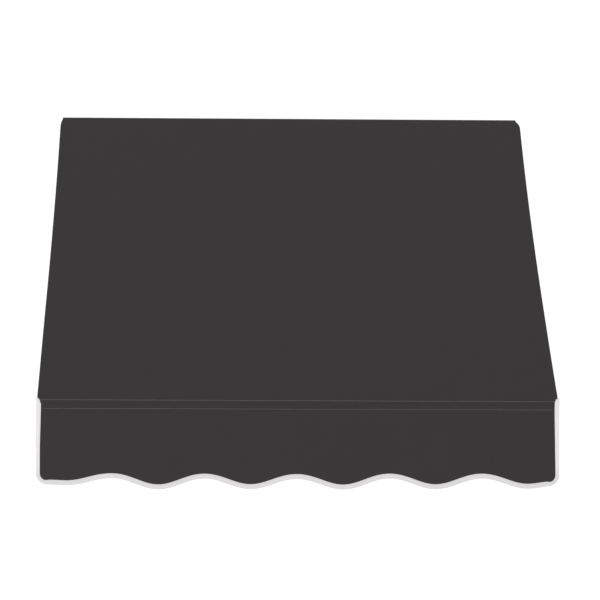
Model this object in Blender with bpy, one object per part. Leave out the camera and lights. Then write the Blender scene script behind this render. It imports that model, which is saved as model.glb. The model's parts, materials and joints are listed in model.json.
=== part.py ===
"""Fixed window awning: square-tube frame, sloping cloth cover and scalloped valance.

Frame of the part: +Z up, +X along the width, the wall is the plane y = 0 and the
awning projects towards -Y.  The origin is on the back of the middle head bracket.
"""

import math

import bmesh
import bpy
from mathutils import Matrix, Vector

# ---- overall sizes (metres) ------------------------------------------------
WIDTH = 1.335            # valance over its binding
DROP = 0.610             # top of head bar to top of front bar
GAP = 0.0003             # clearance between touching pieces

# ---- frame tubes -----------------------------------------------------------
TUBE = 0.019             # square tube, outside
WALL = 0.0012            # tube wall
TUBE_R = 0.002           # outside corner radius
REAR_Y = -0.003          # rear face of head bar and posts
FRONT_Y = REAR_Y - TUBE  # front face of head bar and posts
HEAD_Z0 = 0.0253         # underside of head bar
HEAD_Z1 = HEAD_Z0 + TUBE
BAR_Y0 = -0.911          # front face of front bar
BAR_Y1 = BAR_Y0 + TUBE   # rear face of front bar
BAR_Z1 = HEAD_Z1 - DROP
BAR_Z0 = BAR_Z1 - TUBE
SIDE_X1 = 0.648          # outer face of the two side frames
SIDE_X0 = SIDE_X1 - TUBE
CAP = 0.002              # end cap flange

# ---- plates and screws -----------------------------------------------------
PLATE = 0.003
PLATE_X1 = SIDE_X0 - GAP
PLATE_X0 = PLATE_X1 - PLATE
BRACKET_X = (-0.5, 0.0, 0.5)
BRACKET_W = 0.060
BRACKET_H = 0.025
FLANGE_X0 = 0.597        # inner end of the corner bracket flanges
WALL_HOLE_R = 0.003
SCREW_R = 0.0019
SCREW_HOLE_R = SCREW_R + GAP
SCREW_HEAD_R = 0.0042
SCREW_HEAD_H = 0.0026
SCREW_LEN = 0.0085
COVER_SCREW_X = (-0.42, -0.25, -0.08, 0.08, 0.25, 0.42)

# ---- cloth -----------------------------------------------------------------
CLOTH = 0.0010
SHEET_HALF = 0.6655
PULL_IN = 0.0040         # side edges draw in at mid slope
LAP = 0.0075             # sheet hem below its bend, over the valance
BIND_W = 0.0115
BIND_T = 0.0010
VAL_LOW_Z = -0.7990      # lowest point of the binding
WAVE_DEPTH = 0.0272
WAVE_LENGTH = 0.2355
WAVE_LOW_X = -0.1206
CORNER_R = 0.020

SLOPE_TOP = Vector((FRONT_Y + 0.00042, HEAD_Z1 + 0.00031))
SHEET_BEND = Vector((BAR_Y0 - 0.0021, BAR_Z1 + 0.0016))
SLOPE_RISE = (SLOPE_TOP.y - SHEET_BEND.y) / (SLOPE_TOP.x - SHEET_BEND.x)
SLOPE_COS = 1.0 / math.sqrt(1.0 + SLOPE_RISE ** 2)


def clear_scene():
    """Start from an empty scene."""
    for obj in list(bpy.data.objects):
        bpy.data.objects.remove(obj, do_unlink=True)


def material(name, colour, metallic, roughness):
    """A plain Principled material."""
    mat = bpy.data.materials.new(name)
    mat.use_nodes = True
    bsdf = mat.node_tree.nodes["Principled BSDF"]
    bsdf.inputs["Base Color"].default_value = (*colour, 1.0)
    bsdf.inputs["Metallic"].default_value = metallic
    bsdf.inputs["Roughness"].default_value = roughness
    return mat


def add_object(name, bm, mat, smooth=False):
    """Turn a bmesh into a named object with its own material."""
    bmesh.ops.recalc_face_normals(bm, faces=bm.faces)
    mesh = bpy.data.meshes.new(name)
    bm.to_mesh(mesh)
    bm.free()
    if smooth:
        mesh.shade_smooth()
        mesh.set_sharp_from_angle(angle=math.radians(35.0))
    mesh.materials.append(mat.copy())
    obj = bpy.data.objects.new(name, mesh)
    bpy.context.scene.collection.objects.link(obj)
    return obj


def box(bm, lo, hi):
    """Add a closed box from one corner to the other."""
    size = Vector(hi) - Vector(lo)
    centre = (Vector(hi) + Vector(lo)) / 2.0
    matrix = Matrix.Translation(centre) @ Matrix.Diagonal((*size, 1.0))
    bmesh.ops.create_cube(bm, size=1.0, matrix=matrix)


def extrude_yz(bm, profile, x0, x1):
    """Extrude a closed (y, z) outline from x0 to x1."""
    verts = [bm.verts.new((x0, y, z)) for y, z in profile]
    face = bm.faces.new(verts)
    geom = bmesh.ops.extrude_face_region(bm, geom=[face])
    moved = [g for g in geom["geom"] if isinstance(g, bmesh.types.BMVert)]
    bmesh.ops.translate(bm, verts=moved, vec=(x1 - x0, 0.0, 0.0))


def rounded_square(half, radius, steps):
    """Corner-rounded square outline as (u, v) pairs, counter-clockwise."""
    points = []
    for quarter in range(4):
        base = math.pi / 2.0 * quarter
        sign_u = 1.0 if quarter in (0, 3) else -1.0
        sign_v = 1.0 if quarter in (0, 1) else -1.0
        for step in range(steps + 1):
            angle = base + math.pi / 2.0 * step / steps
            u = sign_u * (half - radius) + radius * math.cos(angle)
            v = sign_v * (half - radius) + radius * math.sin(angle)
            points.append((u, v))
    return points


def square_tube(name, place, lo, hi, mat):
    """Hollow square tube.

    place(u, v, w) maps the section (u, v) at the length w to a point; lo(u, v)
    and hi(u, v) give the length at the two ends, so the ends may be mitred.
    """
    bm = bmesh.new()
    rings = []
    for half, radius in ((TUBE / 2, TUBE_R), (TUBE / 2 - WALL, TUBE_R - WALL)):
        outline = rounded_square(half, radius, 2)
        low = [bm.verts.new(place(u, v, lo(u, v))) for u, v in outline]
        high = [bm.verts.new(place(u, v, hi(u, v))) for u, v in outline]
        rings.append((low, high))
    count = len(rings[0][0])
    for i in range(count):
        j = (i + 1) % count
        for low, high in rings:
            bm.faces.new((low[i], low[j], high[j], high[i]))
        for end in (0, 1):
            outer, inner = rings[0][end], rings[1][end]
            bm.faces.new((outer[i], outer[j], inner[j], inner[i]))
    return add_object(name, bm, mat, smooth=True)


def end_cap(name, place, mat):
    """Plastic end cap: a flange over the tube end and a plug inside it."""
    bm = bmesh.new()
    flange = rounded_square(TUBE / 2, TUBE_R, 2)
    plug = rounded_square(TUBE / 2 - WALL - GAP, 0.0006, 2)
    loops = []
    for outline, w in ((flange, CAP + GAP), (flange, GAP), (plug, GAP), (plug, -0.010)):
        loops.append([bm.verts.new(place(u, v, w)) for u, v in outline])
    count = len(flange)
    for first, second in zip(loops, loops[1:]):
        for i in range(count):
            j = (i + 1) % count
            bm.faces.new((first[i], first[j], second[j], second[i]))
    bm.faces.new(loops[0])
    bm.faces.new(loops[-1])
    return add_object(name, bm, mat, smooth=True)


def axis_frame(direction):
    """Rotation taking +Z to the direction."""
    return Vector((0.0, 0.0, 1.0)).rotation_difference(Vector(direction)).to_matrix().to_4x4()


def lathe(name, point, direction, profile, segments, mat):
    """Turned solid: profile is (radius, height) from axis to axis."""
    bm = bmesh.new()
    rings = []
    for radius, height in profile:
        if radius == 0.0:
            rings.append([bm.verts.new((0.0, 0.0, height))])
            continue
        ring = []
        for k in range(segments):
            angle = 2.0 * math.pi * k / segments
            ring.append(bm.verts.new((radius * math.cos(angle), radius * math.sin(angle), height)))
        rings.append(ring)
    for low, high in zip(rings, rings[1:]):
        for k in range(segments):
            n = (k + 1) % segments
            loop = [low[k % len(low)], low[n % len(low)], high[n % len(high)], high[k % len(high)]]
            bm.faces.new(list(dict.fromkeys(loop)))
    matrix = Matrix.Translation(Vector(point)) @ axis_frame(direction)
    bmesh.ops.transform(bm, matrix=matrix, verts=bm.verts)
    return add_object(name, bm, mat, smooth=True)


def screw(name, point, direction, mat):
    """Pan-head self-drilling screw; the point is on the face under its head."""
    profile = [
        (0.0, -GAP - SCREW_HEAD_H),
        (SCREW_HEAD_R * 0.62, -GAP - SCREW_HEAD_H),
        (SCREW_HEAD_R, -GAP - SCREW_HEAD_H * 0.55),
        (SCREW_HEAD_R, -GAP),
        (SCREW_R, -GAP),
        (SCREW_R, SCREW_LEN - 0.0022),
        (0.0, SCREW_LEN),
    ]
    return lathe(name, point, direction, profile, 12, mat)


def boolean(target, tool_bm, operation):
    """Apply one exact Boolean and drop the helper."""
    mesh = bpy.data.meshes.new("helper")
    bmesh.ops.recalc_face_normals(tool_bm, faces=tool_bm.faces)
    tool_bm.to_mesh(mesh)
    tool_bm.free()
    helper = bpy.data.objects.new("helper", mesh)
    bpy.context.scene.collection.objects.link(helper)
    modifier = target.modifiers.new("cut", "BOOLEAN")
    modifier.solver = "EXACT"
    modifier.operation = operation
    modifier.object = helper
    bpy.context.view_layer.update()
    graph = bpy.context.evaluated_depsgraph_get()
    result = bpy.data.meshes.new_from_object(target.evaluated_get(graph))
    target.modifiers.clear()
    target.data = result
    bpy.data.objects.remove(helper, do_unlink=True)


def drill(target, holes):
    """Drill round holes: each is (point, direction, radius, before, after)."""
    bm = bmesh.new()
    for point, direction, radius, before, after in holes:
        axis = Vector(direction).normalized()
        centre = Vector(point) + axis * (after - before) / 2.0
        bmesh.ops.create_cone(
            bm, cap_ends=True, segments=12, radius1=radius, radius2=radius,
            depth=before + after,
            matrix=Matrix.Translation(centre) @ axis_frame(axis),
        )
    boolean(target, bm, "DIFFERENCE")


def cloth_solid(name, columns, stations, place, keep, mat):
    """Cloth of constant thickness from a grid of cells.

    place(i, j) gives the mid-surface point of column i and station j and the
    unit normal there; keep(i, j) says whether the cell (i, j) exists.
    """
    bm = bmesh.new()
    front, back = {}, {}

    def corner(i, j):
        if (i, j) not in front:
            point, normal = place(i, j)
            front[i, j] = bm.verts.new(point + normal * CLOTH / 2.0)
            back[i, j] = bm.verts.new(point - normal * CLOTH / 2.0)
        return front[i, j], back[i, j]

    edges = {}
    for i in range(columns - 1):
        for j in range(stations - 1):
            if not keep(i, j):
                continue
            loop = [(i, j), (i + 1, j), (i + 1, j + 1), (i, j + 1)]
            pairs = [corner(*key) for key in loop]
            bm.faces.new([p[0] for p in pairs])
            bm.faces.new([p[1] for p in reversed(pairs)])
            for a, b in zip(loop, loop[1:] + loop[:1]):
                edges.setdefault(frozenset((a, b)), []).append((a, b))
    for users in edges.values():
        if len(users) == 1:
            a, b = users[0]
            bm.faces.new((front[b], front[a], back[a], back[b]))
    return add_object(name, bm, mat, smooth=True)


def profile_normals(points):
    """Unit normals of an open (y, z) line, with mitred offsets at its bends."""
    normals = []
    for k, point in enumerate(points):
        before = points[max(k - 1, 0)]
        after = points[min(k + 1, len(points) - 1)]
        first = (point - before).normalized() if k else (after - point).normalized()
        second = (after - point).normalized() if k < len(points) - 1 else first
        tangent = (first + second).normalized()
        normal = Vector((tangent.y, -tangent.x))
        normals.append(normal / max(0.5, normal.dot(Vector((second.y, -second.x)))))
    return normals


def arc(centre, radius, start, end, steps):
    """Points along an arc in the (y, z) plane; angles in degrees."""
    points = []
    for k in range(steps + 1):
        angle = math.radians(start + (end - start) * k / steps)
        points.append(Vector((centre[0] + radius * math.cos(angle), centre[1] + radius * math.sin(angle))))
    return points


# ---- frame -----------------------------------------------------------------
def along_x(y, z, sign=1.0):
    """Section placement for a tube that runs along X."""
    return lambda u, v, w: Vector((sign * w, y + u, z + v))


def build_bars(steel, plastic):
    """Head bar and front bar with their four end caps."""
    end = SIDE_X1 - CAP - GAP
    head_y, head_z = REAR_Y - TUBE / 2, HEAD_Z0 + TUBE / 2
    bar_y, bar_z = BAR_Y0 + TUBE / 2, BAR_Z0 + TUBE / 2
    head = square_tube(
        "head_bar", along_x(head_y, head_z), lambda u, v: -end, lambda u, v: end, steel)
    front = square_tube(
        "front_bar", along_x(bar_y, bar_z), lambda u, v: -end, lambda u, v: end, steel)
    for side, sign in (("left", -1.0), ("right", 1.0)):
        for label, y, z in (("head_bar", head_y, head_z), ("front_bar", bar_y, bar_z)):
            end_cap(
                f"{label}_cap_{side}",
                lambda u, v, w, s=sign, y=y, z=z: Vector((s * (end + w), y + u, z + v)),
                plastic)
    holes = [((x, FRONT_Y + TUBE / 2, HEAD_Z0), (0, 0, 1), SCREW_HOLE_R, 0.001, 0.004)
             for x in BRACKET_X + COVER_SCREW_X]
    for sign in (-1.0, 1.0):
        holes.append(((sign * 0.610, FRONT_Y + TUBE / 2, HEAD_Z0), (0, 0, 1), SCREW_HOLE_R, 0.001, 0.004))
    drill(head, holes)
    drill(front, [((sign * 0.610, BAR_Y1, BAR_Z0 + TUBE / 2), (0, -1, 0), SCREW_HOLE_R, 0.001, 0.004)
                  for sign in (-1.0, 1.0)])


def rafter_top(y):
    """Height of the rafters' upper face, just under the sheet."""
    under_sheet = (CLOTH / 2 + GAP) / SLOPE_COS
    return SLOPE_TOP.y + SLOPE_RISE * (y - SLOPE_TOP.x) - under_sheet


def build_side_frame(side, sign, steel, plastic):
    """One rafter, arm and wall post, joined by three bent-plate brackets."""
    centre_x = sign * (SIDE_X0 + TUBE / 2)
    slope = math.atan(SLOPE_RISE)
    along = Vector((0.0, math.cos(slope), math.sin(slope)))
    up = Vector((0.0, -math.sin(slope), math.cos(slope)))
    base = Vector((centre_x, FRONT_Y, rafter_top(FRONT_Y))) - up * (TUBE / 2)

    rafter = square_tube(
        f"rafter_{side}",
        lambda u, v, w: base + Vector((u, 0.0, 0.0)) + up * v + along * w,
        lambda u, v: (BAR_Y1 + GAP - base.y + v * math.sin(slope)) / math.cos(slope),
        lambda u, v: (FRONT_Y - GAP - base.y + v * math.sin(slope)) / math.cos(slope),
        steel)
    clear = bmesh.new()
    box(clear, (centre_x - 0.03, BAR_Y1 - 0.02, BAR_Z0), (centre_x + 0.03, BAR_Y1 + 0.08, BAR_Z1 + GAP))
    boolean(rafter, clear, "DIFFERENCE")

    arm_z = BAR_Z0 + TUBE / 2
    arm = square_tube(
        f"arm_{side}",
        lambda u, v, w: Vector((centre_x + u, w, arm_z + v)),
        lambda u, v: BAR_Y1 + GAP, lambda u, v: FRONT_Y - GAP, steel)
    post_y = REAR_Y - TUBE / 2
    post = square_tube(
        f"wall_post_{side}",
        lambda u, v, w: Vector((centre_x + u, post_y + v, w)),
        lambda u, v: BAR_Z0 + CAP + GAP, lambda u, v: HEAD_Z0 - GAP, steel)
    end_cap(
        f"wall_post_cap_{side}",
        lambda u, v, w: Vector((centre_x + u, post_y + v, BAR_Z0 + CAP + GAP - w)), plastic)

    def top_less(y, margin):
        return rafter_top(y) - margin

    def plate(name, outline, flange_lo, flange_hi):
        bm = bmesh.new()
        extrude_yz(bm, outline, sign * PLATE_X0, sign * PLATE_X1)
        obj = add_object(name, bm, steel)
        flange = bmesh.new()
        lo = (min(sign * flange_lo[0], sign * flange_hi[0]), flange_lo[1], flange_lo[2])
        hi = (max(sign * flange_lo[0], sign * flange_hi[0]), flange_hi[1], flange_hi[2])
        box(flange, lo, hi)
        boolean(obj, flange, "UNION")
        return obj

    head_top = HEAD_Z0 - GAP
    y_far = FRONT_Y - 0.056
    y_meet = FRONT_Y - 0.004 - (HEAD_Z1 - head_top) / SLOPE_RISE + 0.006
    head = plate(
        f"head_corner_bracket_{side}",
        [(REAR_Y - 0.0005, -0.035), (REAR_Y - 0.0005, head_top), (FRONT_Y, head_top),
         (y_meet, top_less(y_meet, 0.005)), (y_far, top_less(y_far, 0.005)),
         (y_far, top_less(y_far, 0.026)), (FRONT_Y, -0.035)],
        (FLANGE_X0, FRONT_Y + 0.0005, head_top - PLATE), (PLATE_X1 - 0.001, REAR_Y - 0.0005, head_top))
    rear = BAR_Y1 + GAP
    y_top = BAR_Y1 + 0.062
    front = plate(
        f"front_corner_bracket_{side}",
        [(rear, BAR_Z0 + 0.001), (rear, top_less(rear, 0.005)), (y_top, top_less(y_top, 0.005)),
         (y_top + 0.012, top_less(y_top, 0.020)), (y_top + 0.012, BAR_Z0 + 0.001)],
        (FLANGE_X0, rear, BAR_Z0 + 0.001), (PLATE_X1 - 0.001, rear + PLATE, BAR_Z1 - 0.001))
    foot = plate(
        f"foot_bracket_{side}",
        [(0.0, BAR_Z0), (0.0, BAR_Z0 + 0.050), (FRONT_Y, BAR_Z0 + 0.050),
         (FRONT_Y - 0.055, BAR_Z1), (FRONT_Y - 0.055, BAR_Z0)],
        (FLANGE_X0 - 0.008, -PLATE, BAR_Z0), (PLATE_X1 - 0.001, 0.0, BAR_Z0 + 0.050))

    out = (sign, 0, 0)
    inner_face = sign * PLATE_X0
    rafter_y0, rafter_y1 = FRONT_Y - 0.040, BAR_Y1 + 0.047
    plan = [
        (f"screw_head_post_{side}", head, post, (inner_face, post_y, 0.0), out),
        (f"screw_head_rafter_{side}", head, rafter,
         (inner_face, rafter_y0, rafter_top(rafter_y0) - 0.0125), out),
        (f"screw_head_bar_{side}", head, None,
         (sign * 0.610, FRONT_Y + TUBE / 2, head_top - PLATE), (0, 0, 1)),
        (f"screw_front_arm_{side}", front, arm, (inner_face, BAR_Y1 + 0.047, arm_z), out),
        (f"screw_front_rafter_{side}", front, rafter,
         (inner_face, rafter_y1, rafter_top(rafter_y1) - 0.0125), out),
        (f"screw_front_bar_{side}", front, None, (sign * 0.610, rear + PLATE, arm_z), (0, -1, 0)),
        (f"screw_foot_post_{side}", foot, post, (inner_face, post_y, BAR_Z0 + 0.036), out),
        (f"screw_foot_arm_{side}", foot, arm, (inner_face, FRONT_Y - 0.040, arm_z), out),
    ]
    jobs = {}
    for name, bracket, tube, point, direction in plan:
        screw(name, point, direction, steel)
        jobs.setdefault(bracket, []).append((point, direction, SCREW_HOLE_R, 0.002, PLATE + 0.0002))
        if tube is not None:
            jobs.setdefault(tube, []).append((point, direction, SCREW_HOLE_R, 0.0, PLATE + 0.004))
    for z in (BAR_Z0 + 0.012, BAR_Z0 + 0.038):
        jobs[foot].append(((sign * 0.605, -PLATE, z), (0, 1, 0), WALL_HOLE_R, 0.002, PLATE + 0.002))
    for obj, holes in jobs.items():
        drill(obj, holes)


def build_head_brackets(steel):
    """Three wall brackets under the head bar, each with its screw."""
    labels = ("left", "centre", "right")
    leg = [(0.0, -BRACKET_H), (0.0, BRACKET_H), (FRONT_Y + 0.0005, BRACKET_H),
           (FRONT_Y + 0.0005, BRACKET_H - PLATE), (-PLATE, BRACKET_H - PLATE), (-PLATE, -BRACKET_H)]
    for label, x in zip(labels, BRACKET_X):
        bm = bmesh.new()
        extrude_yz(bm, leg, x - BRACKET_W / 2, x + BRACKET_W / 2)
        bracket = add_object(f"head_bracket_{label}", bm, steel)
        holes = [((x + dx, -PLATE, -0.006), (0, 1, 0), WALL_HOLE_R, 0.002, PLATE + 0.002)
                 for dx in (-0.019, 0.019)]
        point = (x, FRONT_Y + TUBE / 2, BRACKET_H - PLATE)
        holes.append((point, (0, 0, 1), SCREW_HOLE_R, 0.002, PLATE + 0.0002))
        drill(bracket, holes)
        screw(f"screw_head_bracket_{label}", point, (0, 0, 1), steel)


# ---- cloth -----------------------------------------------------------------
def sheet_profile():
    """Mid line of the sheet from its hem under the head bar to its lap at the front."""
    half = CLOTH / 2 + GAP
    reach = TUBE_R + half
    line = [Vector((FRONT_Y + 0.003, HEAD_Z0 - half)), Vector((FRONT_Y + 0.010, HEAD_Z0 - half))]
    line += arc((REAR_Y - TUBE_R, HEAD_Z0 + TUBE_R), reach, -90.0, 0.0, 3)
    line.append(Vector((REAR_Y + half, HEAD_Z0 + 0.007)))
    line += arc((REAR_Y - TUBE_R, HEAD_Z1 - TUBE_R), reach, 0.0, 90.0, 3)
    line += arc((FRONT_Y + TUBE_R, HEAD_Z1 - TUBE_R), reach, 90.0, 124.0, 2)
    start = len(line)
    run = SHEET_BEND - line[-1]
    first = line[-1].copy()
    for share in (0.008, 0.016, 0.03, 0.12, 0.25, 0.4, 0.55, 0.7, 0.85, 1.0):
        line.append(first + run * share)
    line.append(Vector((SHEET_BEND.x, SHEET_BEND.y - 0.0008)))
    line.append(Vector((SHEET_BEND.x, SHEET_BEND.y - LAP)))
    return line, start


def build_sheet(cloth):
    """The sloping top sheet, wrapped over and under the head bar."""
    line, start = sheet_profile()
    normals = profile_normals(line)
    last = len(line) - 1
    bend = last - 2
    notch_row = 6
    crest = line[start - 1]
    breaks = [-1.0, -0.985, -0.892, 0.892, 0.985, 1.0]
    for x in BRACKET_X:
        breaks += [(x - 0.034) / SHEET_HALF, (x + 0.034) / SHEET_HALF]
    breaks += [0.6 * k for k in (-1.0, -0.5, 0.5, 1.0)]
    breaks = sorted(breaks)

    def half_width(j, sign):
        if j < start:
            return SHEET_HALF - (0.016 if sign > 0 else 0.010)
        share = (line[j] - crest).length / (SHEET_BEND - crest).length
        share = min(share, 1.0)
        width = SHEET_HALF - PULL_IN * 4.0 * share * (1.0 - share)
        corner = 0.016 if sign > 0 else 0.010
        fade = max(0.0, 1.0 - share / 0.03)
        return width - corner * fade ** 2

    def place(i, j):
        u = breaks[i]
        edge = half_width(j, u) - (0.0 if abs(u) == 1.0 else 0.004)
        x = math.copysign(min(abs(u) * SHEET_HALF, edge), u)
        point = Vector((x, line[j].x, line[j].y))
        normal = Vector((0.0, normals[j].x, normals[j].y))
        return point, normal

    def keep(i, j):
        middle = (breaks[i] + breaks[i + 1]) / 2.0 * SHEET_HALF
        if j < notch_row:
            if abs(middle) > 0.59:
                return False
            return all(abs(middle - x) > 0.034 for x in BRACKET_X)
        return not (j > bend and abs(middle) > 0.985 * SHEET_HALF)

    sheet = cloth_solid("top_sheet", len(breaks), len(line), place, keep, cloth)
    drill(sheet, [((x, FRONT_Y + TUBE / 2, HEAD_Z0 - CLOTH - GAP), (0, 0, 1), SCREW_HOLE_R, 0.001, 0.0015)
                  for x in COVER_SCREW_X])


def build_cover_screws(steel):
    """Screws that hold the sheet's hem under the head bar."""
    for number, x in enumerate(COVER_SCREW_X, start=1):
        screw(f"cover_screw_{number}", (x, FRONT_Y + TUBE / 2, HEAD_Z0 - GAP * 2 - CLOTH), (0, 0, 1), steel)


def valance_edge(x):
    """Height of the binding's outer edge at x: five waves between flatter ends."""
    half = WIDTH / 2
    first = WAVE_LOW_X - 2 * WAVE_LENGTH
    last = WAVE_LOW_X + 3 * WAVE_LENGTH
    if x < first:
        z = VAL_LOW_Z + 0.003 + 0.004 * ((first - x) / (half + first)) ** 2
    elif x > last:
        z = VAL_LOW_Z + 0.002 + 0.009 * ((x - last) / (half - last)) ** 2
    else:
        z = VAL_LOW_Z + WAVE_DEPTH * (1.0 - math.cos(2.0 * math.pi * (x - first) / WAVE_LENGTH)) / 2.0
        z += 0.003 * max(0.0, 1.0 - (x - first) / 0.118) + 0.002 * max(0.0, 1.0 - (last - x) / 0.118)
    return z


def edge_path():
    """Outer edge of the binding as (x, z), from the top left round to the top right."""
    half = WIDTH / 2
    top = BAR_Z1 - 0.0008
    left_z = valance_edge(-half + CORNER_R)
    right_z = valance_edge(half - CORNER_R)
    path = [Vector((-half, top)), Vector((-half, -0.66)), Vector((-half, -0.73))]
    for k in range(7):
        angle = math.radians(180.0 + 15.0 * k)
        path.append(Vector((-half + CORNER_R + CORNER_R * math.cos(angle),
                            left_z + CORNER_R + CORNER_R * math.sin(angle))))
    count = 62
    x0, x1 = -half + CORNER_R, half - CORNER_R
    for k in range(1, count):
        x = x0 + (x1 - x0) * k / count
        path.append(Vector((x, valance_edge(x))))
    for k in range(7):
        angle = math.radians(270.0 + 15.0 * k)
        path.append(Vector((half - CORNER_R + CORNER_R * math.cos(angle),
                            right_z + CORNER_R + CORNER_R * math.sin(angle))))
    path += [Vector((half, -0.73)), Vector((half, -0.66)), Vector((half, top))]
    return path


def inward(path):
    """Unit normals of the edge path, pointing into the cloth."""
    result = []
    for k in range(len(path)):
        before, after = path[max(k - 1, 0)], path[min(k + 1, len(path) - 1)]
        tangent = (after - before).normalized()
        result.append(Vector((-tangent.y, tangent.x)))
    return result


VAL_Y = BAR_Y0 - GAP - CLOTH / 2


def build_valance(cloth):
    """The valance panel, its top turned up the slope under the sheet."""
    path = edge_path()
    normals = inward(path)
    edge = [p + n * (BIND_T + GAP) for p, n in zip(path, normals)]
    bend_z = BAR_Z1 + 0.0009
    tail = Vector((math.cos(math.atan(SLOPE_RISE)), math.sin(math.atan(SLOPE_RISE)))) * 0.008
    bottom = edge[3:-3]
    xs = [p.x for p in bottom]
    rows = 5

    bm = bmesh.new()
    front, back = [], []
    for index, point in enumerate(bottom):
        x = point.x
        if index == 0:
            x = edge[0].x
        if index == len(bottom) - 1:
            x = edge[-1].x
        column = [(x, VAL_Y + tail.x, bend_z + tail.y), (x, VAL_Y, bend_z)]
        for row in range(1, rows):
            share = row / (rows - 1)
            column.append((x, VAL_Y, bend_z + (point.y - bend_z) * share))
        front_column, back_column = [], []
        for row, (px, py, pz) in enumerate(column):
            if row == 0:
                off = Vector((0.0, -math.sin(math.atan(SLOPE_RISE)), math.cos(math.atan(SLOPE_RISE)))) * CLOTH / 2
            elif row == 1:
                turn = (math.pi / 2 - math.atan(SLOPE_RISE)) / 2
                off = Vector((0.0, -CLOTH / 2, CLOTH / 2 * math.tan(turn)))
            else:
                off = Vector((0.0, -CLOTH / 2, 0.0))
            front_column.append(bm.verts.new(Vector((px, py, pz)) + off))
            back_column.append(bm.verts.new(Vector((px, py, pz)) - off))
        front.append(front_column)
        back.append(back_column)
    for i in range(len(xs) - 1):
        for j in range(rows):
            bm.faces.new((front[i][j], front[i][j + 1], front[i + 1][j + 1], front[i + 1][j]))
            bm.faces.new((back[i][j], back[i + 1][j], back[i + 1][j + 1], back[i][j + 1]))
        for j in (0, rows):
            bm.faces.new((front[i][j], front[i + 1][j], back[i + 1][j], back[i][j]))
    for i in (0, len(xs) - 1):
        for j in range(rows):
            bm.faces.new((front[i][j], front[i][j + 1], back[i][j + 1], back[i][j]))
    add_object("valance", bm, cloth)


def build_binding(tape):
    """Folded tape over the valance's left, lower and right edges."""
    path = edge_path()
    normals = inward(path)
    inner = CLOTH / 2 + GAP
    outer = inner + BIND_T
    section = [(0.0, -outer), (BIND_W, -outer), (BIND_W, -inner), (BIND_T, -inner),
               (BIND_T, inner), (BIND_W, inner), (BIND_W, outer), (0.0, outer)]
    bm = bmesh.new()
    rings = []
    for point, normal in zip(path, normals):
        ring = []
        for depth, dy in section:
            at = point + normal * depth
            ring.append(bm.verts.new((at.x, VAL_Y + dy, at.y)))
        rings.append(ring)
    count = len(section)
    for first, second in zip(rings, rings[1:]):
        for i in range(count):
            j = (i + 1) % count
            bm.faces.new((first[i], first[j], second[j], second[i]))
    for ring in (rings[0], rings[-1]):
        for quad in ((0, 1, 2, 3), (0, 3, 4, 7), (4, 5, 6, 7)):
            bm.faces.new([ring[k] for k in quad])
    add_object("valance_binding", bm, tape)


def build_pocket_strip(cloth):
    """Strip round the back of the front bar; with the valance it makes the bar's pocket."""
    half = CLOTH / 2 + GAP
    reach = TUBE_R + half
    line = [Vector((BAR_Y0 + 0.0028, BAR_Z1 + half))]
    line += arc((BAR_Y1 - TUBE_R, BAR_Z1 - TUBE_R), reach, 90.0, 0.0, 3)
    line += arc((BAR_Y1 - TUBE_R, BAR_Z0 + TUBE_R), reach, 0.0, -90.0, 3)
    line.append(Vector((BAR_Y0 + 0.0008, BAR_Z0 - half)))
    normals = profile_normals(line)
    xs = [-0.588, -0.2, 0.2, 0.588]

    def place(i, j):
        point = Vector((xs[i], line[j].x, line[j].y))
        return point, Vector((0.0, normals[j].x, normals[j].y))

    cloth_solid("front_pocket_strip", len(xs), len(line), place, lambda i, j: True, cloth)


def build():
    """Build every piece of the awning."""
    clear_scene()
    steel = material("galvanised_steel", (0.55, 0.56, 0.57), 1.0, 0.42)
    plastic = material("black_plastic", (0.03, 0.03, 0.03), 0.0, 0.5)
    cloth = material("charcoal_canvas", (0.043, 0.040, 0.041), 0.0, 0.9)
    tape = material("pale_binding_tape", (0.78, 0.77, 0.77), 0.0, 0.8)
    build_bars(steel, plastic)
    for side, sign in (("left", -1.0), ("right", 1.0)):
        build_side_frame(side, sign, steel, plastic)
    build_head_brackets(steel)
    build_sheet(cloth)
    build_cover_screws(steel)
    build_valance(cloth)
    build_binding(tape)
    build_pocket_strip(cloth)


build()
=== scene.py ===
"""Looks of the fixed window awning: canvas cover, bound valance, tube frame, studio and camera."""

import json
import logging
import math
from collections.abc import Sequence
from dataclasses import dataclass, field
from enum import Enum

import bpy
import numpy as np
from mathutils import Matrix, Vector

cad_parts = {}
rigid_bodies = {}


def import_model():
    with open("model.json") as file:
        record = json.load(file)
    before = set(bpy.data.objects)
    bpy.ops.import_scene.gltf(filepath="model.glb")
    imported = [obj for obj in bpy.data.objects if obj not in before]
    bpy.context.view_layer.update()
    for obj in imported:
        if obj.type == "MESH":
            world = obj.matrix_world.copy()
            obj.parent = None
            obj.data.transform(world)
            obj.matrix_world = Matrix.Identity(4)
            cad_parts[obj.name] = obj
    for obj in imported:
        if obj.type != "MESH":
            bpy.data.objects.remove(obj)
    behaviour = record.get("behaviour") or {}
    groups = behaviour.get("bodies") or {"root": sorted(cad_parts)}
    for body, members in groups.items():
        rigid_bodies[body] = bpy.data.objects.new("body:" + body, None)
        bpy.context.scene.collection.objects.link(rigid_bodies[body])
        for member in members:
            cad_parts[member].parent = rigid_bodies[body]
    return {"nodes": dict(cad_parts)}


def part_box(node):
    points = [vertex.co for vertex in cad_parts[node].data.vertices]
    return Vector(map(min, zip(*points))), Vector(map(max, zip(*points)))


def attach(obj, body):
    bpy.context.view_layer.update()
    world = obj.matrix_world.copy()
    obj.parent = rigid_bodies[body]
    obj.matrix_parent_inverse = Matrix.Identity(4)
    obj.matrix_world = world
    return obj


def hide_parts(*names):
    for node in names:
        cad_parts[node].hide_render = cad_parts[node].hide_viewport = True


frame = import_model()

log = logging.getLogger("awning")
BODY = "root"
UV_NAME = "cloth"
# Name of the attribute that carries painted shade on the binding tape's lower edge.
PAINTED_SHADE_NAME = "tape_shade"


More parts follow.
